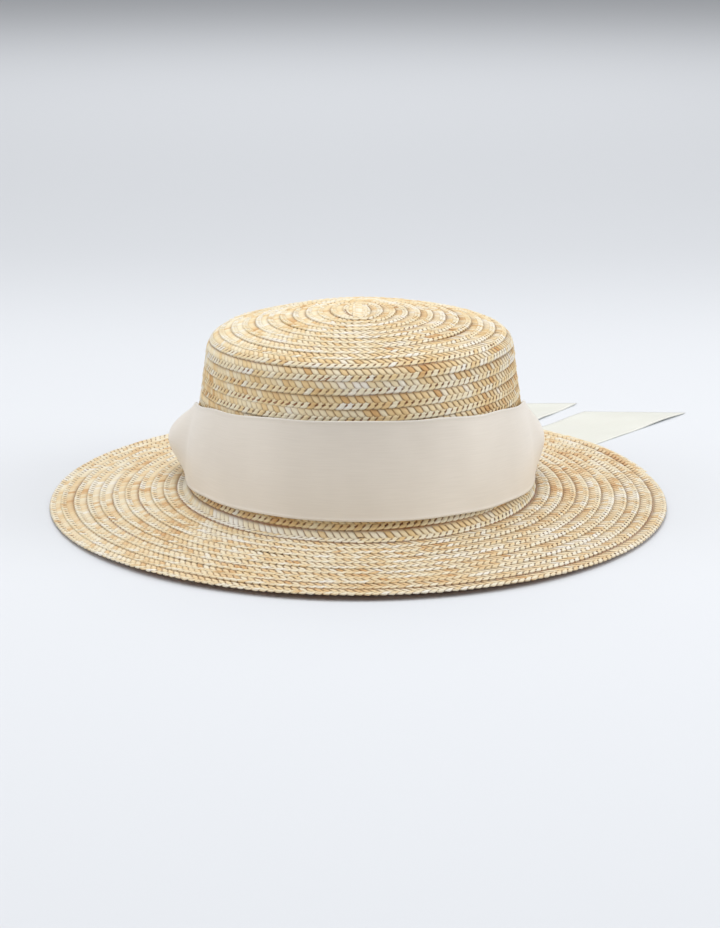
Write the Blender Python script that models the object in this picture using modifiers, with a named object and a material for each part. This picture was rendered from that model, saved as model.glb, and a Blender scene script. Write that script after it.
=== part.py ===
"""A straw hat with a low domed tip, a ribbon round its crown and two ribbon ties, in metres.

+Z is up and the front of the hat faces -Y. The origin lies on the surface that the hat rests on,
below the middle of the head opening. Every oval of the hat is the crown's foot oval, moved in or
out by one distance all round, as a straw plait sewn in a spiral gives it. A place on the hat is
then a turn (degrees from +X, anticlockwise seen from above), an offset from that oval and a height.
"""

import math

import bmesh
import bpy

# The head opening, half of its width across the ears and half of its length front to back
HEAD_HALF_WIDTH = 0.0831
HEAD_HALF_LENGTH = 0.0978

# The sewn straw plait: the wall, and the step of each row over the next one
STRAW_THICKNESS = 0.0024
ROW_PITCH = 0.00625
ROW_STEP = 0.0008

# The crown, with heights above the surface that the hat rests on
CROWN_TOP = 0.0961
CROWN_LEAN = math.radians(8.15)
SHOULDER_RADIUS = 0.010
DOME_RADIUS = 0.265
FOOT_FLARE = 0.0025
FOOT_HEIGHT = 0.0042
TIP_START = 0.0033
# How the crown leans as a whole: its left side and its back are a little lower
SIDE_TILT = math.radians(0.64)
BACK_TILT = math.radians(1.48)

# The brim, from the crown's foot outwards, and how far its edge is lifted at two places
BRIM_WIDTH = 0.0697
BRIM_SEAT_HEIGHT = 0.0073
BRIM_EDGE_HEIGHT = 0.0028
BRIM_REST_WIDTH = 0.005
FRONT_LIFT = 0.0013
# The lifted stretches in degrees. Front: its turn, its flat half and its ramp. Ties: what is
# added to the flat half that the ties need, and its ramp.
FRONT_WAVE = (-95, 25, 40)
TIE_WAVE = (4, 18)

# The ribbon, which makes the band and both ties
RIBBON_WIDTH = 0.0455
RIBBON_THICKNESS = 0.001
BAND_FRONT_RISE = 0.0076
TIE_LENGTH = 0.141
TIE_SEAM_OFFSET = 0.002
TIE_HEM = 0.004
TIE_RAMP = 0.022
TIE_GAP = 0.0015
TIE_HEADING = math.radians(54)
TIE_FAN = math.radians(3)
TIE_TURN = 54.0

# Between pieces that touch, and what is added to it where facets meet a curve
CLEARANCE = 0.0003
FACET_MARGIN = 0.0001
SEGMENTS = 48
ARC_STEPS = 4
DOME_STEPS = 5
BAND_STEPS = 7
RAMP_STEPS = 8

STRAW_COLOUR = (0.73, 0.57, 0.36, 1.0)
BRIM_COLOUR = (0.76, 0.61, 0.40, 1.0)
RIBBON_COLOUR = (0.76, 0.72, 0.63, 1.0)

FOOT_HALF_WIDTH = HEAD_HALF_WIDTH + STRAW_THICKNESS
FOOT_HALF_LENGTH = HEAD_HALF_LENGTH + STRAW_THICKNESS
CROWN_FOOT = BRIM_SEAT_HEIGHT + CLEARANCE
WALL_FOOT = CROWN_FOOT + FOOT_HEIGHT
BRIM_SEAT = FOOT_FLARE + CLEARANCE
BRIM_UNDER = BRIM_SEAT_HEIGHT - STRAW_THICKNESS
TIE_STAND = RIBBON_THICKNESS + CLEARANCE + FACET_MARGIN

# The band round the crown. Bearing: degrees from the front, towards the right of someone who
# looks at the front. Rise: the lower edge's height, as a share of BAND_FRONT_RISE. Height: from
# the lower edge to the upper one, and bulge: how far the middle stands off, in ribbon widths.
BAND_SECTIONS = (
    # bearing, rise, height, bulge
    (-180, 0.00, 1.00, 0.02),
    (-155, 0.00, 0.93, 0.10),
    (-130, 0.00, 0.80, 0.24),
    (-102, 0.10, 0.79, 0.31),
    (-78, 0.50, 0.91, 0.05),
    (-55, 0.80, 0.95, 0.02),
    (-25, 0.96, 0.99, 0.00),
    (0, 1.00, 1.00, 0.00),
    (25, 0.93, 0.99, 0.00),
    (50, 0.74, 0.96, 0.02),
    (78, 0.42, 0.92, 0.05),
    (102, 0.08, 0.80, 0.22),
    (130, 0.00, 0.84, 0.17),
    (155, 0.00, 0.95, 0.07),
    (180, 0.00, 1.00, 0.02),
)
# Where up the band's height its bulge is fullest
BULGE_HEIGHT = 0.53

# The ties, each from its sewn end under the brim to the middle of its slanted end
TIES = (
    # name, side of the pair's middle line, length as a share of TIE_LENGTH
    ("ribbon_tie_back", 1, 0.885),
    ("ribbon_tie_side", -1, 1.0),
)


def smooth(value):
    """Runs from 0 to 1 with level ends as value does, and stays there beyond them."""
    t = min(max(value, 0.0), 1.0)
    return t * t * (3 - 2 * t)


def window(turn, centre, flat, ramp):
    """1 within flat degrees of centre, exactly 0 beyond flat + ramp."""
    away = abs((turn - centre + 180) % 360 - 180)
    return smooth(1 - (away - flat) / ramp)


def oval(turn, offset, height):
    """The point of the hat at a turn, an offset from the crown's foot oval and a height."""
    angle = math.radians(turn)
    x = (FOOT_HALF_WIDTH + offset) * math.cos(angle)
    y = (FOOT_HALF_LENGTH + offset) * math.sin(angle)
    share = max(height - WALL_FOOT, 0) / (CROWN_TOP - WALL_FOOT)
    rise = x * math.tan(SIDE_TILT) - y * math.tan(BACK_TILT)
    return (x, y, height + rise * share)


def arc(centre, radius, start, end, steps):
    """The points of an arc between two angles, both ends included."""
    angles = [start + (end - start) * step / steps for step in range(steps + 1)]
    return [(centre[0] + radius * math.cos(a), centre[1] + radius * math.sin(a)) for a in angles]


def crown_outline(inset):
    """The crown's outline from its foot to the middle of its tip, moved in by the inset: a
    leaning wall, a shoulder arc that touches it, and a dome arc that touches the shoulder."""
    lean_in, lean_up = math.sin(CROWN_LEAN), math.cos(CROWN_LEAN)
    dome_centre = (-FOOT_HALF_WIDTH, CROWN_TOP - DOME_RADIUS)
    # The shoulder arc's centre lies a radius in from the wall, at the length up the wall where
    # its distance from the dome's centre is the difference of the two radii
    apart = DOME_RADIUS - SHOULDER_RADIUS
    start = (
        -SHOULDER_RADIUS * lean_up - dome_centre[0],
        WALL_FOOT - SHOULDER_RADIUS * lean_in - dome_centre[1],
    )
    along = start[1] * lean_up - start[0] * lean_in
    wall = math.sqrt(along ** 2 - start[0] ** 2 - start[1] ** 2 + apart ** 2) - along
    shoulder = (
        dome_centre[0] + start[0] - wall * lean_in,
        dome_centre[1] + start[1] + wall * lean_up,
    )
    meeting = math.atan2(shoulder[1] - dome_centre[1], shoulder[0] - dome_centre[0])
    dome_end = math.acos(TIP_START / (DOME_RADIUS - inset))
    points = [(-inset / lean_up, WALL_FOOT)]
    points += arc(shoulder, SHOULDER_RADIUS - inset, CROWN_LEAN, meeting, ARC_STEPS)
    points += arc(dome_centre, DOME_RADIUS - inset, meeting, dome_end, DOME_STEPS)[1:]
    return points


def crown_offset(height):
    """How far the crown's outside, with its row steps, stands from the foot oval."""
    if height < WALL_FOOT:
        wall = FOOT_FLARE * (WALL_FOOT - height) / FOOT_HEIGHT
    else:
        wall = -(height - WALL_FOOT) * math.tan(CROWN_LEAN)
    return wall + ROW_STEP


def sewn_rows(outline):
    """Steps an outline that runs from the inner row to the outer one: each row starts under
    the row before it and ends a step proud of the next. Points of the outline itself stay."""
    lengths = [0.0]
    for a, b in zip(outline, outline[1:]):
        lengths.append(lengths[-1] + math.dist(a, b))
    rows = max(round(lengths[-1] / ROW_PITCH), 1)
    pitch = lengths[-1] / rows
    seam = ROW_STEP / 2

    def at(distance, lift):
        i = 0
        while i < len(lengths) - 2 and lengths[i + 1] < distance:
            i += 1
        (x0, z0), (x1, z1) = outline[i], outline[i + 1]
        span = lengths[i + 1] - lengths[i]
        share = (distance - lengths[i]) / span
        along = ((x1 - x0) / span, (z1 - z0) / span)
        return (x0 + (x1 - x0) * share - along[1] * lift, z0 + (z1 - z0) * share + along[0] * lift)

    points = []
    for row in range(rows):
        start = row * pitch + (seam if row else 0)
        end = (row + 1) * pitch
        points.append(at(start, 0.0))
        for bend in lengths[1:-1]:
            if start + seam < bend < end - seam:
                points.append(at(bend, ROW_STEP * (bend - start) / (end - start)))
        points.append(at(end, ROW_STEP))
    return points


def material(name, colour, roughness):
    made = bpy.data.materials.new(name)
    made.use_nodes = True
    shader = made.node_tree.nodes["Principled BSDF"]
    shader.inputs["Base Color"].default_value = colour
    shader.inputs["Roughness"].default_value = roughness
    shader.inputs["Metallic"].default_value = 0.0
    made.diffuse_color = colour
    return made


def link(name, bm, finish, collection):
    """Turns a bmesh into a smooth-shaded object of the collection."""
    mesh = bpy.data.meshes.new(name)
    bm.to_mesh(mesh)
    bm.free()
    mesh.materials.append(finish)
    mesh.shade_smooth()
    mesh.set_sharp_from_angle(angle=math.radians(30))
    made = bpy.data.objects.new(name, mesh)
    collection.objects.link(made)
    return made


def oval_loft(section_at, closed_section):
    """A loft round the hat through section_at(turn), a list of (offset, height). A closed
    section makes a ring. An open one is capped at both of its ends."""
    bm = bmesh.new()
    turns = [360 * i / SEGMENTS for i in range(SEGMENTS)]
    rings = [[bm.verts.new(oval(turn, *point)) for point in section_at(turn)] for turn in turns]
    count = len(rings[0])
    for i, ring in enumerate(rings):
        after = rings[(i + 1) % SEGMENTS]
        for k in range(count if closed_section else count - 1):
            n = (k + 1) % count
            bm.faces.new((ring[k], ring[n], after[n], after[k]))
    if not closed_section:
        bm.faces.new([ring[0] for ring in rings])
        bm.faces.new([ring[-1] for ring in rings])
    bmesh.ops.recalc_face_normals(bm, faces=bm.faces)
    return bm


def build_crown(finish, collection):
    """The tip, the side and the flared foot row: one spiral of plait."""
    outside = list(reversed(crown_outline(0.0))) + [(FOOT_FLARE, CROWN_FOOT)]
    inside = crown_outline(STRAW_THICKNESS)
    section = sewn_rows(outside) + [(inside[0][0], CROWN_FOOT)] + inside
    return link("crown", oval_loft(lambda turn: section, False), finish, collection)


def brim_lift(turn, offset):
    """How far the brim is lifted: a low wave at the front, and room for the ties behind."""
    reach = min(max(offset / BRIM_WIDTH, 0), 1)
    front = FRONT_LIFT * window(turn, *FRONT_WAVE)
    spread = (RIBBON_WIDTH + TIE_LENGTH * math.sin(TIE_FAN)) / (FOOT_HALF_WIDTH + BRIM_WIDTH)
    behind = TIE_STAND * window(turn, TIE_TURN, math.degrees(spread) + TIE_WAVE[0], TIE_WAVE[1])
    return front * reach ** 2 + behind * reach


def brim_under(turn, offset):
    """The height of the brim's underside, down to the ring that it rests on."""
    rest = BRIM_WIDTH - BRIM_REST_WIDTH
    share = min(max((offset - BRIM_SEAT) / (rest - BRIM_SEAT), 0), 1)
    return BRIM_UNDER * (1 - share) + brim_lift(turn, offset)


def build_brim(finish, collection):
    """A nearly flat ring that slopes down from the crown's foot and rests on its edge."""
    outline = [(BRIM_SEAT, BRIM_SEAT_HEIGHT), (BRIM_WIDTH, BRIM_EDGE_HEIGHT - ROW_STEP)]
    top = [(-STRAW_THICKNESS, BRIM_SEAT_HEIGHT)] + sewn_rows(outline)
    under = [BRIM_WIDTH, BRIM_WIDTH - BRIM_REST_WIDTH, BRIM_SEAT, -STRAW_THICKNESS]

    def section_at(turn):
        upper = [(o, h + brim_lift(turn, o)) for o, h in top]
        return upper + [(o, brim_under(turn, o)) for o in under]

    return link("brim", oval_loft(section_at, True), finish, collection)


def band_section(bearing):
    """The band's rise, height and bulge at a bearing, between the table's rows."""
    for a, b in zip(BAND_SECTIONS, BAND_SECTIONS[1:]):
        if a[0] <= bearing <= b[0]:
            share = smooth((bearing - a[0]) / (b[0] - a[0]))
            return [p + (q - p) * share for p, q in zip(a[1:], b[1:])]
    raise ValueError("bearing outside the table")


def bulge_shape(up):
    """The band's bulge up its height, 0 at both edges and 1 where it is fullest."""
    power = math.log(0.5) / math.log(BULGE_HEIGHT)
    return math.sin(math.pi * up ** power)


def build_band(finish, collection):
    """The ribbon round the crown, an open surface made solid inwards."""
    lowest = BRIM_SEAT_HEIGHT + ROW_STEP + CLEARANCE
    stand = CLEARANCE + RIBBON_THICKNESS
    bm = bmesh.new()
    rings = []
    for i in range(SEGMENTS):
        turn = 360 * i / SEGMENTS
        bearing = (turn + 90 + 180) % 360 - 180
        rise, height, bulge = band_section(bearing)
        ring = []
        for step in range(BAND_STEPS):
            up = step / (BAND_STEPS - 1)
            z = lowest + rise * BAND_FRONT_RISE + up * height * RIBBON_WIDTH * math.cos(CROWN_LEAN)
            offset = crown_offset(z) + stand + bulge * RIBBON_WIDTH * bulge_shape(up)
            ring.append(bm.verts.new(oval(turn, offset, z)))
        rings.append(ring)
    for i, ring in enumerate(rings):
        after = rings[(i + 1) % SEGMENTS]
        for k in range(BAND_STEPS - 1):
            bm.faces.new((ring[k], after[k], after[k + 1], ring[k + 1]))
    band = link("ribbon_band", bm, finish, collection)
    solidify(band, -1)
    return band


def solidify(made, side):
    """Gives an open surface the ribbon's thickness, against its normals for side -1."""
    wall = made.modifiers.new("thickness", "SOLIDIFY")
    wall.thickness = RIBBON_THICKNESS
    wall.offset = side


def on_oval(x, y):
    """The turn and the offset of a point seen from above, by halving the offset's range."""
    low, high = -FOOT_HALF_WIDTH / 2, FOOT_HALF_LENGTH + 2 * BRIM_WIDTH
    for _ in range(50):
        offset = (low + high) / 2
        reach = (x / (FOOT_HALF_WIDTH + offset)) ** 2 + (y / (FOOT_HALF_LENGTH + offset)) ** 2
        low, high = (offset, high) if reach > 1 else (low, offset)
    angle = math.atan2(y / (FOOT_HALF_LENGTH + offset), x / (FOOT_HALF_WIDTH + offset))
    return math.degrees(angle), offset


def build_tie(name, side, share, finish, collection):
    """A tie, sewn under the brim by the head opening, that lies flat on the surface and runs
    out behind the hat. Its free end is cut parallel to the X axis."""
    heading = TIE_HEADING + side * TIE_FAN
    along = (math.cos(heading), math.sin(heading))
    across = (-along[1], along[0])
    middle = oval(TIE_TURN, TIE_SEAM_OFFSET, 0.0)
    step = side * (RIBBON_WIDTH + TIE_GAP) / 2
    start = (
        middle[0] - math.sin(TIE_HEADING) * step,
        middle[1] + math.cos(TIE_HEADING) * step,
    )
    length = TIE_LENGTH * share
    stations = [TIE_RAMP * k / RAMP_STEPS for k in range(RAMP_STEPS + 1)] + [length]
    bm = bmesh.new()
    rails = []
    for distance in stations:
        pair = []
        for w in (-RIBBON_WIDTH / 2, RIBBON_WIDTH / 2):
            d = distance - (w / math.tan(heading) if distance == length else 0)
            x = start[0] + along[0] * d + across[0] * w
            y = start[1] + along[1] * d + across[1] * w
            sewn = brim_under(*on_oval(x, y)) - TIE_STAND
            down = smooth((distance - TIE_HEM) / (TIE_RAMP - TIE_HEM))
            pair.append(bm.verts.new((x, y, sewn * (1 - down))))
        rails.append(pair)
    for (a, b), (c, d) in zip(rails, rails[1:]):
        bm.faces.new((a, c, d, b))
    tie = link(name, bm, finish, collection)
    solidify(tie, 1)
    return tie


def main():
    for old in list(bpy.data.objects):
        bpy.data.objects.remove(old, do_unlink=True)
    collection = bpy.data.collections.new("straw_hat")
    bpy.context.scene.collection.children.link(collection)
    crown_straw = material("crown_straw", STRAW_COLOUR, 0.6)
    brim_straw = material("brim_straw", BRIM_COLOUR, 0.6)
    satin = material("ribbon_satin", RIBBON_COLOUR, 0.35)
    build_crown(crown_straw, collection)
    build_brim(brim_straw, collection)
    build_band(satin, collection)
    for name, side, share in TIES:
        build_tie(name, side, share, satin, collection)


main()
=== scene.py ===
# %% [markdown]
# A straw hat with a low domed tip and a wide satin ribbon.
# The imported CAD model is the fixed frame: it says where the crown, the brim, the ribbon round the
# crown and the two ribbon ties are. This lesson dresses them: the straw becomes a real plait of
# woven straws that is sewn in one spiral, and the ribbon becomes thin satin cloth.

import math

import bpy
import numpy as np
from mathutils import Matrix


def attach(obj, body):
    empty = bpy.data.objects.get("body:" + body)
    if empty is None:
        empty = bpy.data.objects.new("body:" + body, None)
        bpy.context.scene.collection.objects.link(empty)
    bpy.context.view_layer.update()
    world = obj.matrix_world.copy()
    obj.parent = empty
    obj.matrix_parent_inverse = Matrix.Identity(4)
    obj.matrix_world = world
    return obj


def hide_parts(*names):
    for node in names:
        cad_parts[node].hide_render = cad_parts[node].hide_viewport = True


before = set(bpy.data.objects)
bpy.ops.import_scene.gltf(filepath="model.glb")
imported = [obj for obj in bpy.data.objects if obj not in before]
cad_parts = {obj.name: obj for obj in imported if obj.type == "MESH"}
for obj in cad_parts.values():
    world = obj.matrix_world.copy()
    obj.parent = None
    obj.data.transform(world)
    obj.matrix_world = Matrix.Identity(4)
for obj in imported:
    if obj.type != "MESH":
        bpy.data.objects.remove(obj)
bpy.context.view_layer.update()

# %% [markdown]
# The sizes below are the hat's own, in metres, the same as in the CAD model. A place on the hat
# is a turn (anticlockwise from +X, seen from above), an offset out from the crown's foot oval and
# a height, because a plait that is sewn round and round keeps its distance all the way round.

# %% Sizes of the hat
FOOT_HALF_WIDTH = 0.0855
FOOT_HALF_LENGTH = 0.1002
CROWN_TOP = 0.0961
CROWN_LEAN = math.radians(8.15)
SHOULDER_RADIUS = 0.010
DOME_RADIUS = 0.265
WALL_FOOT = 0.0118
CROWN_FOOT = 0.0076
FOOT_FLARE = 0.0025
TIP_START = 0.0033
SIDE_TILT = math.radians(0.64)
BACK_TILT = math.radians(1.48)
BRIM_WIDTH = 0.0697
BRIM_SEAT_HEIGHT = 0.0073
BRIM_EDGE = 0.0020
ROW_STEP = 0.0008
CLEARANCE = 0.0003
print("brim:", round(2000 * (FOOT_HALF_WIDTH + BRIM_WIDTH)), "by",
      round(2000 * (FOOT_HALF_LENGTH + BRIM_WIDTH)), "mm")


def smooth(value):
    """Runs from 0 to 1 with level ends as value does, and stays there beyond them."""
    t = np.clip(value, 0.0, 1.0)
    return t * t * (3 - 2 * t)


def window(turn, centre, flat, ramp):
    """1 within flat degrees of centre, 0 beyond flat + ramp."""
    away = np.abs((turn - centre + 180) % 360 - 180)
    return smooth(1 - (away - flat) / ramp)


def on_hat(turn, offset, height):
    """Points of the hat from turns in degrees, offsets and heights."""
    angle = np.radians(turn)
    x = np.maximum(FOOT_HALF_WIDTH + offset, 0.0001) * np.cos(angle)
    y = (FOOT_HALF_LENGTH + offset) * np.sin(angle)
    share = np.maximum(height - WALL_FOOT, 0) / (CROWN_TOP - WALL_FOOT)
    z = height + (x * math.tan(SIDE_TILT) - y * math.tan(BACK_TILT)) * share
    return np.stack([x, y, z], axis=-1)


# %% [markdown]
# The camera stands at the height and distance that the picture's perspective gives, and looks
# 14.8 degrees down. Its focal length is set for a picture 720 pixels wide.

# %% The camera
LOOKS_DOWN = 14.8
FOCAL_PIXELS = 2330
PICTURE_WIDTH = 720
camera = bpy.data.objects.new("camera", bpy.data.cameras.new("camera"))
bpy.context.scene.collection.objects.link(camera)
camera.location = (0.0, -1.134303, 0.316703)
camera.rotation_euler = (math.radians(90 - LOOKS_DOWN), 0.0, 0.0)
camera.data.sensor_fit = "HORIZONTAL"
camera.data.sensor_width = 36.0
camera.data.lens = camera.data.sensor_width * FOCAL_PIXELS / PICTURE_WIDTH
camera.data.clip_start = 0.05
bpy.context.scene.camera = camera
print("camera focal length:", round(camera.data.lens, 2), "mm")

# %% [markdown]
# The straw surface, seen in section, is one line: low dome, round shoulder, leaning side, flared
# foot and nearly flat brim. Every row of the plait finds its place by its distance along this
# line, so the line is sampled finely once, and its corners are softened as sewn straw softens them.

# %% The section line
ARC_POINTS = 16
SPARE_ENDS = 0.012
SAMPLE_STEP = 0.0001
# The corners are softened by a bell-shaped mean, in samples: its width and where it is cut off.
SOFTENING = 9.0
SOFTENING_REACH = 24


def section_line():
    """Distances along the section, with the offset, the height and the outward direction."""
    lean = np.array([-math.sin(CROWN_LEAN), math.cos(CROWN_LEAN)])
    dome_centre = np.array([-FOOT_HALF_WIDTH, CROWN_TOP - DOME_RADIUS])
    inward = -SHOULDER_RADIUS * np.array([lean[1], -lean[0]])
    start = np.array([0.0, WALL_FOOT]) + inward - dome_centre
    along = start @ lean
    wall = math.sqrt(along**2 - start @ start + (DOME_RADIUS - SHOULDER_RADIUS) ** 2) - along
    shoulder = dome_centre + start + wall * lean
    meeting = math.atan2(*(shoulder - dome_centre)[::-1])
    points = []
    for centre, radius, first, last in (
        (dome_centre, DOME_RADIUS, math.acos(TIP_START / DOME_RADIUS), meeting),
        (shoulder, SHOULDER_RADIUS, meeting, CROWN_LEAN),
    ):
        for angle in np.linspace(first, last, ARC_POINTS):
            points.append(tuple(centre + radius * np.array([math.cos(angle), math.sin(angle)])))
    points.append((0.0, WALL_FOOT))
    points.append((FOOT_FLARE, CROWN_FOOT))
    points.append((BRIM_WIDTH, BRIM_EDGE))
    points = np.array(points)
    steps = np.hypot(*np.diff(points, axis=0).T)
    at = np.concatenate([[0.0], np.cumsum(steps)])
    foot, flare_foot = at[-3], at[-2]
    before = points[0] - (SPARE_ENDS, 0)
    after = points[-1] + SPARE_ENDS * (points[-1] - points[-2]) / steps[-1]
    at = np.concatenate([[-SPARE_ENDS], at, [at[-1] + SPARE_ENDS]])
    points = np.vstack([before, points, after])
    fine = np.arange(at[0], at[-1], SAMPLE_STEP)
    line = np.stack([np.interp(fine, at, points[:, i]) for i in (0, 1)], axis=1)
    reach = np.arange(-SOFTENING_REACH, SOFTENING_REACH + 1)
    weights = np.exp(-((reach / SOFTENING) ** 2) / 2)
    weights /= weights.sum()
    pad = ((SOFTENING_REACH, SOFTENING_REACH), (0, 0))
    padded_line = np.pad(line, pad, mode="reflect", reflect_type="odd")
    line = np.stack([np.convolve(padded_line[:, i], weights, "valid") for i in (0, 1)], axis=1)
    along = np.gradient(line, fine, axis=0)
    along /= np.hypot(along[:, 0], along[:, 1])[:, None]
    return fine, line, np.stack([-along[:, 1], along[:, 0]], axis=1), foot, flare_foot, at[-2]


SECTION_AT, SECTION, SECTION_OUT, FOOT_AT, FLARE_AT, EDGE_AT = section_line()
print("section, tip to edge:", round(EDGE_AT * 1000, 1), "mm")

# %% [markdown]
# A real brim is never quite flat. It rises in a low wave at the front, and at the back right it
# stands a little higher, where the two ribbon ties come out from under it.

# %% From the section to the hat
FRONT_WAVE = 0.0013
ROOM_FOR_TIES = 0.0014
TIE_TURN = 54.0
LOWEST = 0.0002
# Two stretches of the brim, in degrees: the middle, half the length, and the ramp at each end.
WAVE_STRETCH = (-95, 25, 40)
TIE_STRETCH = (TIE_TURN, 23, 18)


def brim_lift(turn, offset):
    """The brim's low wave at the front, and its room for the ties behind."""
    reach = np.clip(offset / BRIM_WIDTH, 0, 1)
    front = FRONT_WAVE * window(turn, *WAVE_STRETCH) * reach**2
    return front + ROOM_FOR_TIES * window(turn, *TIE_STRETCH) * reach


def on_section(turn, distance, lift):
    """Points of the hat at a turn, a distance along the section and a lift off it."""
    offset = np.interp(distance, SECTION_AT, SECTION[:, 0])
    height = np.interp(distance, SECTION_AT, SECTION[:, 1])
    offset = offset + lift * np.interp(distance, SECTION_AT, SECTION_OUT[:, 0])
    height = height + lift * np.interp(distance, SECTION_AT, SECTION_OUT[:, 1])
    height = height + np.where(distance > FOOT_AT, brim_lift(turn, offset), 0)
    places = on_hat(turn, offset, height)
    places[..., 2] = np.maximum(places[..., 2], LOWEST)
    return places


print("the brim rises", round(1000 * FRONT_WAVE, 1), "mm at the front")

# %% [markdown]
# Rows of plait. The plait starts as a short straight piece in the middle of the tip and is sewn
# clockwise, seen from above, each turn under the edge of the turn before. Counted in turns from
# the crown's foot at the front, its outer edge follows a short table of distances. The last turn
# is tucked under the one before it bit by bit, and the plait ends at the right.

# %% The spiral
PLAIT_WIDTH = 0.0082
CROWN_PITCH = 0.00625
FRONT_TURN = -90.0
END_TURNS = 11.71
# How far the outer edge lies in from the foot, along the section, nine turns before the foot.
NINE_TURNS_IN = 0.0543
FIRST_EDGE = 0.0015
EDGES = (
    # turns from the crown's foot, distance of the outer edge along the section
    (-30.0, FOOT_AT - NINE_TURNS_IN - 21 * CROWN_PITCH),
    (-9.0, FOOT_AT - NINE_TURNS_IN),
    (0.0, FOOT_AT + 0.0002),
    (1.0, FLARE_AT + 0.0022),
    (2.0, FLARE_AT + 0.0094),
    (10.0, EDGE_AT - 0.0072),
    (11.0, EDGE_AT),
    (12.0, EDGE_AT),
)
START_TURNS = -9.0 - (FOOT_AT - NINE_TURNS_IN - FIRST_EDGE) / CROWN_PITCH


def outer_edge(turns):
    """The distance of the plait's outer edge along the section, from its turns."""
    at, edge = np.array(EDGES).T
    return np.interp(turns, at, edge)


# The length of the sewn plait is measured on a line a little outside its middle.
MEASURED_AT = 0.45
turns_line = np.linspace(START_TURNS, END_TURNS, 24000)
middle_at = np.maximum(outer_edge(turns_line) - MEASURED_AT * PLAIT_WIDTH, -0.002)
middle_line = on_section(FRONT_TURN - 360 * turns_line, middle_at, 0)
steps = np.linalg.norm(np.diff(middle_line, axis=0), axis=1)
length_line = np.concatenate([[0.0], np.cumsum(steps)])
print("plait sewn in:", round(length_line[-1], 2), "m")

# %% [markdown]
# The plait itself. Four flat straws run zigzag between the two edges of the plait, over one and
# under one, and fold over at each edge. A flat picture of a weave would show no shadow between
# the straws, so each straw is a thin bent strip of real mesh. It is cut along lines that run with
# the row, because a straw folded at an edge keeps such a line: the strip stays whole at the fold.

# %% The measures of the plait
PERIOD = 0.0140
STRAWS = 4
STATIONS = np.array([0.0, 0.12, 0.25, 0.36, 0.46, 0.55, 0.61, 0.67, 0.73, 0.79, 0.85, 0.92, 1.0])
LEG_STEPS = len(STATIONS) - 1
ACROSS = np.array([-1.0, -0.45, 0.45, 1.0])
STRAW_HALF = PERIOD / (2 * STRAWS)
PILLOW = 0.00056
FOLD_CURL = 0.00045
FOLD_FROM = 0.88
FOLD_BULGE = 0.06
SCALE_TILT = 0.00022
# Up to this share of its width a row gets painted shade, where the row before covers it.
TUCKED = 0.32
TUCKED_PAINTED_SHADE = 0.95
# A painted highlight makes the rim along a row's outer fold paler.
RIM_PAINTED_HIGHLIGHT = 0.14
# A straw runs zigzag, so it is about this much longer than the plait.
STRAW_STRETCH = 1.5
INNER_LIFT, OUTER_LIFT = -0.0008, -0.00003
# How far across the plait a straw is at shares of its way from the inner edge to the outer one.
# It runs steeply through the middle and nearly level along the outer fold.
PATH = ((0.0, 0.25, 0.50, 0.625, 0.75, 0.875, 1.0), (0.0, 0.16, 0.47, 0.63, 0.78, 0.90, 0.97))
rng = np.random.default_rng(7)
print("plait:", STRAWS, "straws, a fold every", round(1000 * PERIOD / STRAWS, 1), "mm")

# %% [markdown]
# Seen from outside, the upper part of a row is a line of round scales, straws on their way in.
# Below them, straws on their way out show as small points, dip into a dark hole and roll over
# the edge as a rim. One function says which straw is on top, and another how wide it is there.
# The numbers are shares of the way across the plait, from its inner edge.

# %% How a straw rises, sinks and narrows
SCALE_FROM, SCALE_TO = 0.22, 0.65
POINT_FROM = 0.56
PINCH_AT, DIP_AT, RIM_FROM = 0.76, 0.82, 0.84


def over_under(across, side, outward):
    """1 where a straw lies on top and -1 where it lies below, from how far across the plait it
    is, the place across the straw, and whether it is on its way out."""
    bow = side**2
    inner = smooth((across - SCALE_FROM) / 0.08)
    scales = -1 + 2 * inner - 2 * smooth((across - SCALE_TO + 0.22 * bow) / 0.07)
    points = 1 - 2 * inner + 1.8 * smooth((across - POINT_FROM - 0.05 * bow) / 0.07)
    points -= 0.8 * np.exp(-(((across - DIP_AT) / 0.03) ** 2)) * (0.4 + 0.6 * bow)
    points += 0.2 * smooth((across - RIM_FROM) / 0.04)
    ends = smooth(across / 0.08) * smooth((1.0 - across) / 0.07)
    return np.where(outward, points, scales) * ends


def waist(across, outward, full):
    """How wide a straw is, about 1: narrow where it shows as a point above the rim."""
    pinch = np.clip(0.26 + 1.1 * (1.0 - full), 0.0, 0.55)
    narrow = 1 - pinch * np.exp(-(((across - PINCH_AT) / 0.05) ** 2))
    narrow = narrow + 0.10 * smooth((across - RIM_FROM) / 0.04)
    scale = 1 + 0.10 * np.exp(-(((across - 0.45) / 0.12) ** 2))
    return np.where(outward, narrow, scale)


print("width of a straw at its point:", round(float(waist(PINCH_AT, True, 1.0)), 2))

# %% [markdown]
# No two straws are alike. Each leg, from one edge of the plait to the other, gets its own fullness
# and its own tone from a seeded random generator, so every run makes the same hat.

# %% Fullness and tone of the straws
def straw_heights(count):
    """How full each leg of a straw stands, about 1."""
    return np.clip(rng.normal(1.0, 0.15, count), 0.65, 1.35)


def tone_zones(count):
    """A tone for each fold along the plait. New straws are let in bundle by bundle, and each
    bundle has its own colour: most are golden, some are bleached pale, and a few are darker."""
    zones = np.empty(count)
    at = 0
    while at < count:
        run = int(rng.integers(1, 6))
        kind = rng.random()
        tone = rng.normal(0.42, 0.07) if kind < 0.68 else rng.normal(0.58, 0.07)
        if kind > 0.92:
            tone = rng.normal(0.27, 0.05)
        zones[at:at + run] = tone
        at += run
    return zones


def straw_tones(zones):
    """A tone for each leg of one straw. It keeps near its bundle's tone, and the side of the
    straw that faces up on its way outwards is the paler one."""
    tones = zones + rng.normal(0, 0.16, len(zones))
    tones[::2] += 0.10
    return np.clip(tones, 0, 1)
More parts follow.
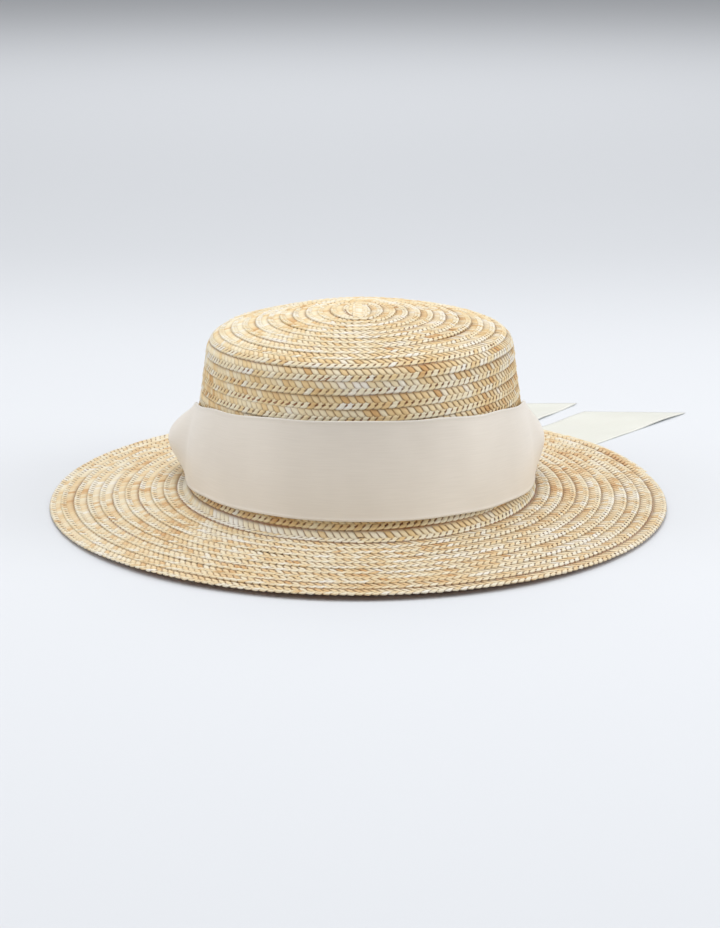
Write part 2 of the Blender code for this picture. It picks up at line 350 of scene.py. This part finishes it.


# %% [markdown]
# One straw is a strip four points wide. Its corners are worked out all at once as arrays, because
# a loop over a hundred thousand places would be slow. Its tints carry its tone in red, and in
# green the painted shade where it lies deep in a gap or under the row before.

# %% One straw, and a piece of plait
def grid_faces(rows, columns):
    """The four-cornered faces between the points of a grid, which are numbered row by row."""
    corner = np.arange(rows * columns).reshape(rows, columns)
    return np.stack(
        [corner[:-1, :-1], corner[1:, :-1], corner[1:, 1:], corner[:-1, 1:]], axis=-1
    ).reshape(-1, 4)


def strand(straw, start, end, place, tones, widths, heights, tucked):
    """One straw of the plait between two lengths: its points, faces, coordinates and tints."""
    shift = straw * PERIOD / STRAWS
    step = PERIOD / 2 / LEG_STEPS
    index = np.arange(math.ceil((start - shift) / step), math.floor((end - shift) / step) + 1)
    leg, part = index // LEG_STEPS, index % LEG_STEPS
    outward = (leg % 2 == 0)[:, None]
    share = np.where(leg % 2 == 0, STATIONS[part], STATIONS[LEG_STEPS - part])
    middle = shift + (leg + np.where(leg % 2 == 0, share, 1 - share)) * PERIOD / 2
    side = np.ones((len(index), 1)) * ACROSS
    path = np.interp(share, *PATH)[:, None] * np.ones(len(ACROSS))
    level = over_under(path, side, outward)
    half = STRAW_HALF * np.interp(index / LEG_STEPS, np.arange(len(widths)), widths)[:, None]
    full = np.interp(index / LEG_STEPS, np.arange(len(heights)), heights)[:, None]
    x = middle[:, None] + side * half * waist(path, outward, full)
    # A straw is round across, and where it folds at the outer edge it bulges out and curls down.
    rounding = 1 - 0.85 * side**2
    fold = smooth((path - FOLD_FROM) / 0.09)
    across = path + FOLD_BULGE * full * (1 - side**2) * fold
    lift = PILLOW * level * rounding * full - FOLD_CURL * (1 - 0.8 * side**2) * fold
    lift = lift + np.where(outward, 0, SCALE_TILT) * side
    places = place(x, across, lift)
    quads = grid_faces(len(index), len(ACROSS))
    along = middle[:, None] * STRAW_STRETCH * np.ones(len(ACROSS))
    # Painted shade where a straw passes low, less where it is full, and where the row is tucked in.
    below = smooth(0.3 - level) * smooth((path - 0.5) / 0.06) * smooth((0.95 - path) / 0.05)
    below = below * np.clip(2.5 - 1.6 * full, 0.4, 1.0)
    painted_gap_shade = np.maximum(below, TUCKED_PAINTED_SHADE * smooth((tucked - across) / 0.06))
    tone = tones[np.clip(leg, 0, len(tones) - 1)][:, None]
    # Painted highlight: the rim along the outer fold is made paler.
    tone = tone + RIM_PAINTED_HIGHLIGHT * smooth((across - 0.86) / 0.05)
    tint = np.stack([tone, painted_gap_shade, np.zeros_like(painted_gap_shade), np.ones_like(painted_gap_shade)], axis=-1)
    uv = np.stack([along, side * STRAW_HALF], axis=-1)
    return places.reshape(-1, 3), quads, uv.reshape(-1, 2), tint.reshape(-1, 4)


def mesh_piece(name, points, quads, uv, tint=None):
    """A smooth mesh object from arrays, with its coordinates and, for straw, its tints."""
    mesh = bpy.data.meshes.new(name)
    mesh.vertices.add(len(points))
    mesh.vertices.foreach_set("co", points.astype(np.float32).ravel())
    mesh.loops.add(quads.size)
    mesh.loops.foreach_set("vertex_index", quads.astype(np.int32).ravel())
    mesh.polygons.add(len(quads))
    mesh.polygons.foreach_set("loop_start", np.arange(0, quads.size, 4, dtype=np.int32))
    mesh.update(calc_edges=True)
    layer = mesh.uv_layers.new(name="grain")
    layer.data.foreach_set("uv", uv[quads.ravel()].astype(np.float32).ravel())
    if tint is not None:
        colours = mesh.attributes.new("tint", "FLOAT_COLOR", "POINT")
        colours.data.foreach_set("color", tint.astype(np.float32).ravel())
    mesh.shade_smooth()
    mesh.validate()
    made = bpy.data.objects.new(name, mesh)
    bpy.context.scene.collection.objects.link(made)
    return made


def plait_piece(name, lengths, place, tucked=TUCKED):
    """A piece of plait, its straws joined into one mesh. Where it is tucked under the row
    before, up to this share of its width, it is tinted with painted shade, as the dark inside of a gap."""
    points, quads, uvs, tints, base = [], [], [], [], 0
    for straw in range(STRAWS):
        made = strand(straw, *lengths, place, TONES[straw], WIDTHS[straw], HEIGHTS[straw], tucked)
        points.append(made[0])
        quads.append(made[1] + base)
        uvs.append(made[2])
        tints.append(made[3])
        base += len(made[0])
    quads = np.concatenate(quads)
    print(name, "triangles:", 2 * len(quads))
    return mesh_piece(
        name, np.concatenate(points), quads, np.concatenate(uvs), np.concatenate(tints))


# %% [markdown]
# The straws of the whole hat get their random values before any mesh is made. Some parts are
# painted paler or darker as painted light and shade: the tip, lit from above, is paler, the side
# darker, the row under the ribbon darker in its painted shadow, and the flare row below it paler.

# %% Random values for the whole plait
PAINTED_LIGHT_BY_TURN = (
    # first turn, last turn, how much paler (painted light), or darker where below 0 (painted shade)
    (START_TURNS, -9.5, 0.06),
    (-9.5, -0.5, -0.05),
    (-0.5, 0.45, -0.16),
    (0.82, 1.3, 0.16),
)
SPARE_LEGS = 12
# Every 35 mm the plait's edge wanders, and the row rides higher or lower, by about this much.
WANDER_STEP = 0.035
WANDER_SIZE = 0.00022
RIDE_SIZE = 0.00012
LEGS = int(length_line[-1] / PERIOD * 2) + SPARE_LEGS
ZONES = tone_zones(LEGS)
# Painted light and painted shade: these stretches of turns are made paler or darker.
for first, last, paler in PAINTED_LIGHT_BY_TURN:
    part = np.interp((first, last), turns_line, length_line) / PERIOD * 2
    ZONES[int(part[0]):int(part[1])] += paler
TONES = [straw_tones(ZONES) for _ in range(STRAWS)]
WIDTHS = [np.clip(rng.normal(0.96, 0.035, LEGS), 0.86, 1.04) for _ in range(STRAWS)]
HEIGHTS = [straw_heights(LEGS) for _ in range(STRAWS)]
WANDER_AT = np.arange(0, length_line[-1] + 0.1, WANDER_STEP)
WANDER = rng.normal(0, WANDER_SIZE, len(WANDER_AT))
RIDE = rng.normal(0, RIDE_SIZE, len(WANDER_AT))
print("legs of straw:", STRAWS * LEGS)

# %% [markdown]
# Sewing the plait down is a change of coordinates: a place along and across the flat plait becomes
# a turn round the hat and a distance along its section. Plait is never sewn quite evenly, so its
# edge wanders by a few tenths of a millimetre.

# %% From flat plait to sewn plait
INNERMOST = -0.0032
EVEN_NEAR_EDGE = 0.004
LAST_TURN = 11


def sewn(x, share, pillow):
    """Where the sewn plait's points lie: round the spiral, across its row, and off the wall."""
    turns = np.interp(x, length_line, turns_line)
    edge = outer_edge(turns)
    free = smooth((EDGE_AT - edge) / EVEN_NEAR_EDGE)
    edge = edge + np.interp(x, WANDER_AT, WANDER) * free
    distance = np.maximum(edge - (1 - share) * PLAIT_WIDTH, INNERMOST)
    lift = INNER_LIFT + (OUTER_LIFT - INNER_LIFT) * share + pillow
    lift = lift + np.interp(x, WANDER_AT, RIDE)
    under = np.clip(turns - LAST_TURN, 0, 1) * CROWN_PITCH
    lift = lift - under / PLAIT_WIDTH * (OUTER_LIFT - INNER_LIFT)
    return on_section(FRONT_TURN - 360 * turns, distance, lift)


def length_at(turns):
    """The length of plait that is sewn in before this turn."""
    return float(np.interp(turns, turns_line, length_line))


print("plait in the crown:", round(length_at(0.0), 2), "m")

# %% [markdown]
# The spiral is cut into five pieces, so that no mesh grows too heavy. Its very start is a short
# straight length over the middle of the tip.

# %% The straw pieces
START_WIDTH = 0.0078
START_LENGTH = 0.040
START_FLAT = 0.014
START_DROP = 0.0003
START_ROUNDING = 6.0
plaits = {}
for name, first, last in (
    ("straw_tip", START_TURNS, -10.4),
    ("straw_side", -10.4, -4.7),
    ("straw_foot", -4.7, 1.0),
    ("straw_brim_inner", 1.0, 6.5),
    ("straw_brim_outer", 6.5, END_TURNS),
):
    plaits[name] = plait_piece(name, (length_at(first), length_at(last)), sewn)


def straight(x, share, pillow):
    """The short straight start of the plait, over the middle of the tip."""
    across = (share - 0.5) * START_WIDTH
    y = x - START_LENGTH / 2
    z = CROWN_TOP - START_DROP + pillow - START_ROUNDING * across**2
    z = z - 0.9 * np.maximum(np.abs(y) - START_FLAT, 0) ** 1.4
    return np.stack([across, y, z - y * math.tan(BACK_TILT)], axis=-1)


heart = plait_piece("straw_start", (0.0, START_LENGTH), straight, tucked=-1.0)

# %% [markdown]
# Colours are sRGB hex values, as a paint chart gives them. Blender computes in linear light, so
# one function turns them. Another small function adds a node with its settings and links, and
# three more, made from it, give the results of the nodes that are needed most.

# %% Colour and node helpers
def linear(code):
    """A linear colour from an sRGB hex value."""
    parts = [int(code[i:i + 2], 16) / 255 for i in (1, 3, 5)]
    return tuple(p / 12.92 if p <= 0.04045 else ((p + 0.055) / 1.055) ** 2.4 for p in parts) + (1.0,)


def add(tree, kind, inputs=None, **settings):
    """A node of this kind, with its settings, its values and the outputs that feed it."""
    made = tree.nodes.new(kind)
    for name, value in settings.items():
        setattr(made, name, value)
    for socket, value in (inputs or {}).items():
        if isinstance(value, bpy.types.NodeSocket):
            tree.links.new(value, made.inputs[socket])
        else:
            made.inputs[socket].default_value = value
    return made


def maths(tree, operation, first, second=0.5):
    """The result of an operation on two values. Some operations use only the first."""
    return add(tree, "ShaderNodeMath", {0: first, 1: second}, operation=operation).outputs[0]


def noise(tree, vector, scale, detail, roughness):
    """The value of a noise texture, about a half."""
    made = add(tree, "ShaderNodeTexNoise",
               {"Vector": vector, "Scale": scale, "Detail": detail, "Roughness": roughness})
    return made.outputs["Fac"]


def mix(tree, share, first, second, **settings):
    """A colour between two, or their product where the blend type says so."""
    made = add(tree, "ShaderNodeMix", {"Factor": share, 6: first, 7: second},
               data_type="RGBA", **settings)
    return made.outputs[2]


def new_material(name):
    """An empty material and its node tree."""
    made = bpy.data.materials.new(name)
    made.use_nodes = True
    made.node_tree.nodes.clear()
    return made, made.node_tree


print("middle grey in linear light:", round(linear("#808080")[0], 3))

# %% [markdown]
# Wheat straw, split, flattened and plaited. The outside of a straw is waxy and a little glossy,
# and its fibres run along it as fine pale and dark streaks. The fibres are about 0.1 mm apart,
# too fine to show, so the streaks are drawn at 0.3 mm. Each straw has its own colour, which gives
# the hat its lively speckle. The narrow gaps between straws and each straw's edges get painted
# shade, darker and warmer. Straw is thin, so a little amber light comes through it.

# %% The straw finish
STRAW_GRAIN = (120, 3300, 1)
# How far the painted shade in gaps and at straw edges goes towards the gap colour.
PAINTED_GAP_SHADE = 0.96
LIGHT_THROUGH = 0.22
AMBER = "#D8A35E"


def straw_finish(name, colours, outline):
    """Straw in four tones, dark to pale, and a colour of painted shade. Outline is its strength at
    edges.
    """
    made, tree = new_material(name)
    # Each straw's own tone, with streaks along its fibres and larger patches, picks a colour.
    tint = add(tree, "ShaderNodeAttribute", attribute_name="tint")
    split = add(tree, "ShaderNodeSeparateColor", {"Color": tint.outputs["Color"]})
    grain = add(tree, "ShaderNodeUVMap", uv_map="grain")
    stretch = add(tree, "ShaderNodeMapping", {"Vector": grain.outputs["UV"], "Scale": STRAW_GRAIN})
    fibres = noise(tree, stretch.outputs["Vector"], 1.0, 3.0, 0.6)
    place = add(tree, "ShaderNodeNewGeometry")
    patches = noise(tree, place.outputs["Position"], 45.0, 2.0, 0.5)
    lighter = maths(tree, "MULTIPLY", fibres, 0.16)
    mottled = maths(tree, "MULTIPLY", patches, 0.30)
    varied = maths(tree, "ADD", lighter, mottled)
    tone = maths(tree, "ADD", split.outputs["Red"], varied)
    # Both noises stay about a half, so this takes their mean off again.
    tone = maths(tree, "SUBTRACT", tone, 0.23)
    ramp = add(tree, "ShaderNodeValToRGB", {"Fac": tone})
    ramp.color_ramp.elements[0].position = 0.0
    ramp.color_ramp.elements[0].color = linear(colours[0])
    ramp.color_ramp.elements[1].position = 1.0
    ramp.color_ramp.elements[1].color = linear(colours[3])
    for position, colour in ((0.33, colours[1]), (0.66, colours[2])):
        ramp.color_ramp.elements.new(position).color = linear(colour)
    # Painted shade darkens the gaps between straws and the edges of each straw.
    sides = add(tree, "ShaderNodeSeparateXYZ", {"Vector": grain.outputs["UV"]})
    sides = maths(tree, "ABSOLUTE", sides.outputs["Y"])
    border = add(tree, "ShaderNodeMapRange",
                 {"Value": sides, "From Min": 0.65 * STRAW_HALF, "From Max": STRAW_HALF,
                  "To Max": outline}, interpolation_type="SMOOTHSTEP")
    painted_shade_amount = maths(tree, "POWER", split.outputs["Green"], 1.5)
    painted_shade_amount = maths(tree, "MAXIMUM", painted_shade_amount, border.outputs["Result"])
    painted_shade_amount = maths(tree, "MULTIPLY", painted_shade_amount, PAINTED_GAP_SHADE)
    shaded_straw = mix(tree, painted_shade_amount, ramp.outputs["Color"], linear(colours[4]), blend_type="MULTIPLY")
    # The fibres are a fine relief, and each straw's surface falls away at its edges.
    hollow = maths(tree, "MULTIPLY", border.outputs["Result"], -0.9)
    relief = maths(tree, "MULTIPLY", fibres, 0.25)
    relief = maths(tree, "ADD", relief, hollow)
    height = add(tree, "ShaderNodeBump", {"Height": relief, "Strength": 0.5, "Distance": 0.0003})
    rough = add(tree, "ShaderNodeMapRange",
                {"Value": fibres, "From Min": 0.3, "From Max": 0.7, "To Min": 0.36, "To Max": 0.55})
    surface = add(tree, "ShaderNodeBsdfPrincipled",
                  {"Base Color": shaded_straw, "Roughness": rough.outputs["Result"],
                   "Normal": height.outputs["Normal"], "IOR": 1.5, "Specular IOR Level": 0.5})
    amber = mix(tree, 1.0, shaded_straw, linear(AMBER), blend_type="MULTIPLY")
    glow = add(tree, "ShaderNodeBsdfTranslucent",
               {"Color": amber, "Normal": height.outputs["Normal"]})
    thin = add(tree, "ShaderNodeMixShader",
               {0: LIGHT_THROUGH, 1: surface.outputs["BSDF"], 2: glow.outputs["BSDF"]})
    add(tree, "ShaderNodeOutputMaterial", {"Surface": thin.outputs["Shader"]})
    return made


# The last colour of each palette is the colour of the painted shade in gaps.
crown_straw = straw_finish(
    "wheat_straw_plaited_crown", ("#E0B070", "#F6DBA4", "#FDF1CE", "#FFFBEE", "#95602E"), 0.60)
brim_straw = straw_finish(
    "wheat_straw_plaited_brim", ("#DEB178", "#F4DBAB", "#FAF0D2", "#FEFBF0", "#8C5A2C"), 0.72)
crown_pieces = [plaits["straw_tip"], plaits["straw_side"], plaits["straw_foot"], heart]
brim_pieces = [plaits["straw_brim_inner"], plaits["straw_brim_outer"]]
for piece in crown_pieces:
    piece.data.materials.append(crown_straw)
for piece in brim_pieces:
    piece.data.materials.append(brim_straw)
print("straw pieces finished:", len(TONES) * LEGS, "legs of straw tinted")

# %% [markdown]
# The ribbon round the crown is one strip of satin. It is held close at the front and puffs out
# at the sides and the back, where it is taller than the wall it follows. Its shape comes from a
# table of named sections round the crown, and the ends overlap in a plain join at the back.

# %% The ribbon round the crown
RIBBON_WIDTH = 0.0455
BAND_LENGTH = 0.585
RIBBON_THICKNESS = 0.001
BAND_FRONT_RISE = 0.0076
BULGE_POWER = math.log(0.5) / math.log(0.53)
CLOTH_THICKNESS = 0.00045
JOIN_OVERLAP = 8.0
JOIN_STEP = 0.0006
SELVEDGE_AT = 0.0007
SELVEDGE_HEIGHT = 0.00022
SELVEDGE_SPREAD = 0.00035
BAND_COLUMNS = 361
# Levels up the cloth, close together near its edges, where the selvedge is.
LEVELS = np.concatenate([
    [0, 0.008, 0.016, 0.024, 0.034], np.linspace(0.06, 0.94, 23), [0.966, 0.976, 0.984, 0.992, 1],
])
BAND_SECTIONS = np.array((
    # bearing, rise, height, bulge
    (-180, 0.00, 1.00, 0.02),
    (-155, 0.00, 0.93, 0.10),
    (-130, 0.00, 0.80, 0.24),
    (-102, 0.10, 0.79, 0.31),
    (-78, 0.50, 0.91, 0.05),
    (-55, 0.80, 0.95, 0.02),
    (-25, 0.96, 0.99, 0.00),
    (0, 1.00, 1.00, 0.00),
    (25, 0.93, 0.99, 0.00),
    (50, 0.74, 0.96, 0.02),
    (78, 0.42, 0.92, 0.05),
    (102, 0.08, 0.80, 0.22),
    (130, 0.00, 0.84, 0.17),
    (155, 0.00, 0.95, 0.07),
    (180, 0.00, 1.00, 0.02),
))


def band_section(bearing):
    """Rise, height and bulge of the ribbon at bearings between the table's rows."""
    at = BAND_SECTIONS[:, 0]
    low = np.clip(np.searchsorted(at, bearing, side="right") - 1, 0, len(at) - 2)
    share = smooth((bearing - at[low]) / (at[low + 1] - at[low]))
    rows = BAND_SECTIONS[low] + (BAND_SECTIONS[low + 1] - BAND_SECTIONS[low]) * share[..., None]
    return rows[..., 1], rows[..., 2], rows[..., 3]


def crown_offset(height):
    """How far the crown's outside, with its row steps, stands from the foot oval."""
    flare = FOOT_FLARE * (WALL_FOOT - height) / (WALL_FOOT - CROWN_FOOT)
    wall = -(height - WALL_FOOT) * math.tan(CROWN_LEAN)
    return np.where(height < WALL_FOOT, flare, wall) + ROW_STEP


def grid_piece(name, places, size):
    """A sheet from a grid of points. Its coordinates are in metres along and across."""
    rows, columns = places.shape[:2]
    quads = grid_faces(rows, columns)
    along, across = np.meshgrid(
        np.linspace(0, size[0], rows), np.linspace(0, size[1], columns), indexing="ij"
    )
    uv = np.stack([along, across], axis=-1).reshape(-1, 2)
    made = mesh_piece(name, places.reshape(-1, 3), quads, uv)
    print(name, "triangles:", 2 * len(quads))
    return made


def build_band():
    """The ribbon as a grid: bearings round the crown by levels up the cloth."""
    bearings = np.linspace(-180 - JOIN_OVERLAP / 2, 180 + JOIN_OVERLAP / 2, BAND_COLUMNS)
    wrapped = (bearings + 180) % 360 - 180
    bearing, level = np.meshgrid(wrapped, LEVELS, indexing="ij")
    rise, height, bulge = band_section(bearing)
    lowest = BRIM_SEAT_HEIGHT + ROW_STEP + CLEARANCE
    z = lowest + rise * BAND_FRONT_RISE + level * height * RIBBON_WIDTH * math.cos(CROWN_LEAN)
    offset = crown_offset(z) + CLEARANCE + RIBBON_THICKNESS
    offset = offset + bulge * RIBBON_WIDTH * np.sin(math.pi * level**BULGE_POWER)
    layer = smooth((bearings - (180 - JOIN_OVERLAP)) / (JOIN_OVERLAP / 2))[:, None]
    offset = offset + layer * JOIN_STEP - JOIN_STEP / 2
    edge_distance = np.minimum(level, 1 - level) * height * RIBBON_WIDTH
    ridge = np.exp(-(((edge_distance - SELVEDGE_AT) / SELVEDGE_SPREAD) ** 2))
    offset = offset + SELVEDGE_HEIGHT * ridge
    return grid_piece("satin_band", on_hat(bearing - 90, offset, z), (BAND_LENGTH, RIBBON_WIDTH))


band = build_band()


def give_thickness(piece):
    """The cloth's thickness, half on each side of the sheet."""
    wall = piece.modifiers.new("cloth", "SOLIDIFY")
    wall.thickness = CLOTH_THICKNESS
    wall.offset = 0


give_thickness(band)

# %% [markdown]
# The two ties lie on the surface behind the hat. Each is sewn under the brim by the head opening,
# and its free end is cut at a slant. Cloth on a table is never quite flat, so each has a low wave.

# %% The ties
TIE_HEADING = math.radians(54)
TIE_FAN = math.radians(3)
TIE_LENGTH = 0.141
BACK_TIE_SHARE = 0.885
TIE_GAP = 0.0015
TIE_SEAM_OFFSET = 0.002
TIE_RAMP = 0.022
TIE_HEM = 0.004
TIE_SEAM_HEIGHT = 0.0034
TIE_LIFT = 0.00030
TIE_WAVE = 0.0009
# The wave's angle grows by this much for each metre along and across the tie.
WAVE_ALONG, WAVE_ACROSS = 95, 40
WAVE_FROM, WAVE_RAMP = 0.075, 0.03


def build_tie(name, side, share, start_angle):
    """A tie on one side (1 or -1) of the pair's middle, and its length."""
    heading = TIE_HEADING + side * TIE_FAN
    along = np.array([math.cos(heading), math.sin(heading)])
    across = np.array([-along[1], along[0]])
    middle = on_hat(np.array(TIE_TURN), TIE_SEAM_OFFSET, np.array(0.0))[:2]
    step = side * (RIBBON_WIDTH + TIE_GAP) / 2
    start = middle + np.array([-math.sin(TIE_HEADING), math.cos(TIE_HEADING)]) * step
    length = TIE_LENGTH * share
    at, w = np.meshgrid(
        np.linspace(0, 1, 61), np.linspace(-0.5, 0.5, 23) * RIBBON_WIDTH, indexing="ij"
    )
    end = length - w / math.tan(heading)
    d = at * end
    flat = start + d[..., None] * along + w[..., None] * across
    down = smooth((d - TIE_HEM) / (TIE_RAMP - TIE_HEM))
    wave = 0.5 + 0.5 * np.sin(d * WAVE_ALONG + start_angle + w * WAVE_ACROSS)
    rest = TIE_LIFT + TIE_WAVE * wave * smooth((d - WAVE_FROM) / WAVE_RAMP)
    z = TIE_SEAM_HEIGHT * (1 - down) + rest * down
    tie = grid_piece(name, np.concatenate([flat, z[..., None]], axis=-1), (length, RIBBON_WIDTH))
    give_thickness(tie)
    return tie, length


tie_back, back_length = build_tie("satin_tie_back", 1, BACK_TIE_SHARE, 0.4)
tie_side, side_length = build_tie("satin_tie_side", -1, 1.0, 2.1)

# %% [markdown]
# Polyester satin ribbon, woven with long floats and a firm selvedge. Satin looks smooth and
# softly shiny, brighter across its threads than along them. The threads are about 0.1 mm apart,
# so they are drawn at 0.4 mm. Wide soft patches of painted sheen make its colour uneven, and the
# selvedge is a fine raised line near each edge.

# %% The satin finish
SATIN_GRAIN = (60, 2500, 1)
# A darker tone, for the thread grain and for the painted sheen.
SATIN_GRAIN_AND_SHEEN_TONE = "#A89E90"


def satin_finish(name, colour, edge_colour):
    """Satin in one colour with a selvedge in another."""
    made, tree = new_material(name)
    grain = add(tree, "ShaderNodeUVMap", uv_map="grain")
    split = add(tree, "ShaderNodeSeparateXYZ", {"Vector": grain.outputs["UV"]})
    stretch = add(tree, "ShaderNodeMapping", {"Vector": grain.outputs["UV"], "Scale": SATIN_GRAIN})
    threads = noise(tree, stretch.outputs["Vector"], 1.0, 2.0, 0.5)
    # The selvedge lies between two distances from the ribbon's middle line.
    middle = maths(tree, "SUBTRACT", split.outputs["Y"], RIBBON_WIDTH / 2)
    away = maths(tree, "ABSOLUTE", middle)
    inside = add(tree, "ShaderNodeMapRange",
                 {"Value": away, "From Min": RIBBON_WIDTH / 2 - 0.0013,
                  "From Max": RIBBON_WIDTH / 2 - 0.0008})
    outside = add(tree, "ShaderNodeMapRange",
                  {"Value": away, "From Min": RIBBON_WIDTH / 2 - 0.0006,
                   "From Max": RIBBON_WIDTH / 2 - 0.0002, "To Min": 1.0, "To Max": 0.45})
    selvedge = maths(tree, "MULTIPLY", inside.outputs["Result"], outside.outputs["Result"])
    # Thread grain and painted sheen patches together say how far the colour goes towards the darker
    # tone.
    shade = add(tree, "ShaderNodeMapRange",
                {"Value": threads, "From Min": 0.3, "From Max": 0.7, "To Min": 0.0, "To Max": 0.08})
    # Painted sheen: wide soft patches darken the cloth unevenly.
    sheen_patches = noise(tree, grain.outputs["UV"], 32.0, 2.0, 0.45)
    painted_sheen = add(tree, "ShaderNodeMapRange",
                {"Value": sheen_patches, "From Min": 0.3, "From Max": 0.7, "To Min": 0.0, "To Max": 0.13})
    shade = maths(tree, "ADD", shade.outputs["Result"], painted_sheen.outputs["Result"])
    cloth = mix(tree, shade, linear(colour), linear(SATIN_GRAIN_AND_SHEEN_TONE))
    cloth = mix(tree, selvedge, cloth, linear(edge_colour))
    relief = maths(tree, "MULTIPLY", threads, 0.12)
    relief = maths(tree, "ADD", relief, selvedge)
    height = add(tree, "ShaderNodeBump", {"Height": relief, "Strength": 0.6, "Distance": 0.0002})
    surface = add(tree, "ShaderNodeBsdfPrincipled",
                  {"Base Color": cloth, "Roughness": 0.42, "Normal": height.outputs["Normal"],
                   "IOR": 1.5, "Specular IOR Level": 0.4, "Sheen Weight": 0.25, "Sheen Roughness": 0.4})
    add(tree, "ShaderNodeOutputMaterial", {"Surface": surface.outputs["BSDF"]})
    return made


band_satin = satin_finish("satin_ribbon_woven_band", "#E4DDD3", "#F6F1E8")
# The ties are the same satin as the band. Their finish is a darker, greener copy, painted shade for how
# light falls on them on the floor.
tie_satin = satin_finish("satin_ribbon_woven_tie_shaded", "#D9DBD3", "#E6E7E1")
band.data.materials.append(band_satin)
for piece in (tie_back, tie_side):
    piece.data.materials.append(tie_satin)
print("satin finishes:", band_satin.name, "and", tie_satin.name)

# %% [markdown]
# The studio: a flat floor of pale paper, with painted shade that makes it a little darker further
# back. It has no wall, because a wall would hide the hat from a camera behind it.

# %% The floor
FLOOR_HALF_WIDTH = 4.0
FLOOR_FRONT, FLOOR_BACK = -4.0, 6.0
SHADE_FROM, SHADE_TO = 0.30, 0.80


def build_floor():
    """The paper floor and its finish."""
    points = np.array([
        [(x, y, 0.0) for x in (-FLOOR_HALF_WIDTH, FLOOR_HALF_WIDTH)]
        for y in (FLOOR_FRONT, 0.0, FLOOR_BACK)
    ])
    floor = grid_piece("paper_sweep", points, (FLOOR_BACK - FLOOR_FRONT, 2 * FLOOR_HALF_WIDTH))
    made, tree = new_material("matt_paper_painted")
    place = add(tree, "ShaderNodeNewGeometry")
    split = add(tree, "ShaderNodeSeparateXYZ", {"Vector": place.outputs["Position"]})
    # Painted shade: the paper darkens further back, as the light falls off.
    painted_falloff = add(tree, "ShaderNodeMapRange",
                  {"Value": split.outputs["Y"], "From Min": SHADE_FROM, "From Max": SHADE_TO},
                  interpolation_type="SMOOTHSTEP")
    paper = mix(tree, painted_falloff.outputs["Result"], linear("#D3D6DB"), linear("#C9CCD1"))
    surface = add(tree, "ShaderNodeBsdfPrincipled",
                  {"Base Color": paper, "Roughness": 0.9, "Specular IOR Level": 0.1})
    add(tree, "ShaderNodeOutputMaterial", {"Surface": surface.outputs["BSDF"]})
    floor.data.materials.append(made)


build_floor()

# %% [markdown]
# Four large soft lights stand round the hat: above, at the left, at the right and in front. The
# one at the right is stronger than the one at the left. A fifth lights the far floor, and a dim
# even light comes from all round. Large lamps give shadows with soft edges.

# %% The light
def soft_light(name, place, target, size, power, colour):
    """A rectangular lamp at a place, turned to face a target."""
    lamp = bpy.data.lights.new(name, "AREA")
    lamp.shape = "RECTANGLE"
    lamp.size, lamp.size_y = size
    lamp.energy = power
    lamp.color = colour
    made = bpy.data.objects.new(name, lamp)
    bpy.context.scene.collection.objects.link(made)
    made.location = place
    away = np.array(place) - np.array(target)
    made.rotation_euler = (
        math.atan2(math.hypot(away[0], away[1]), away[2]), 0.0, math.atan2(away[0], -away[1]),
    )


WARM_WHITE = (1.0, 0.995, 0.985)
AIR_COLOUR = (0.985, 0.99, 1.0, 1.0)
AIR_STRENGTH = 0.42
for name, place, target, size, power in (
    # name, where it stands (m), where it points, its width and height (m), its power (W)
    ("softbox_above", (0.0, 0.05, 1.45), (0, 0, 0.04), (0.9, 0.8), 9.0),
    ("softbox_left", (-1.3, -0.1, 0.75), (0, 0, 0.04), (0.9, 0.9), 6.3),
    ("softbox_right", (1.3, -0.1, 0.75), (0, 0, 0.04), (0.9, 0.9), 9.0),
    ("softbox_front", (0.0, -1.0, 1.6), (0, 0, 0.04), (1.0, 0.8), 6.3),
    ("softbox_far_floor", (0.0, 2.1, 1.5), (0, 2.1, 0.0), (2.6, 1.4), 24.0),
):
    soft_light(name, place, target, size, power, WARM_WHITE)
world = bpy.data.worlds.new("studio_air")
world.use_nodes = True
world.node_tree.nodes["Background"].inputs["Color"].default_value = AIR_COLOUR
world.node_tree.nodes["Background"].inputs["Strength"].default_value = AIR_STRENGTH
bpy.context.scene.world = world
bpy.context.scene.view_settings.view_transform = "Standard"
print("soft lights:", len(bpy.data.lights))

# %% [markdown]
# Last, each piece is tied to the frame: it rides on the root, and the CAD part that it stands for
# is hidden.

# %% Tie the pieces to the frame
for pieces, node_name, slot in (
    (crown_pieces, "crown", "crown_straw"),
    (brim_pieces, "brim", "brim_straw"),
    ([band], "ribbon_band", "ribbon_satin"),
    ([tie_back], "ribbon_tie_back", "tie_satin"),
    ([tie_side], "ribbon_tie_side", "tie_satin"),
):
    for piece in pieces:
        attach(piece, "root")
        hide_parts(node_name)
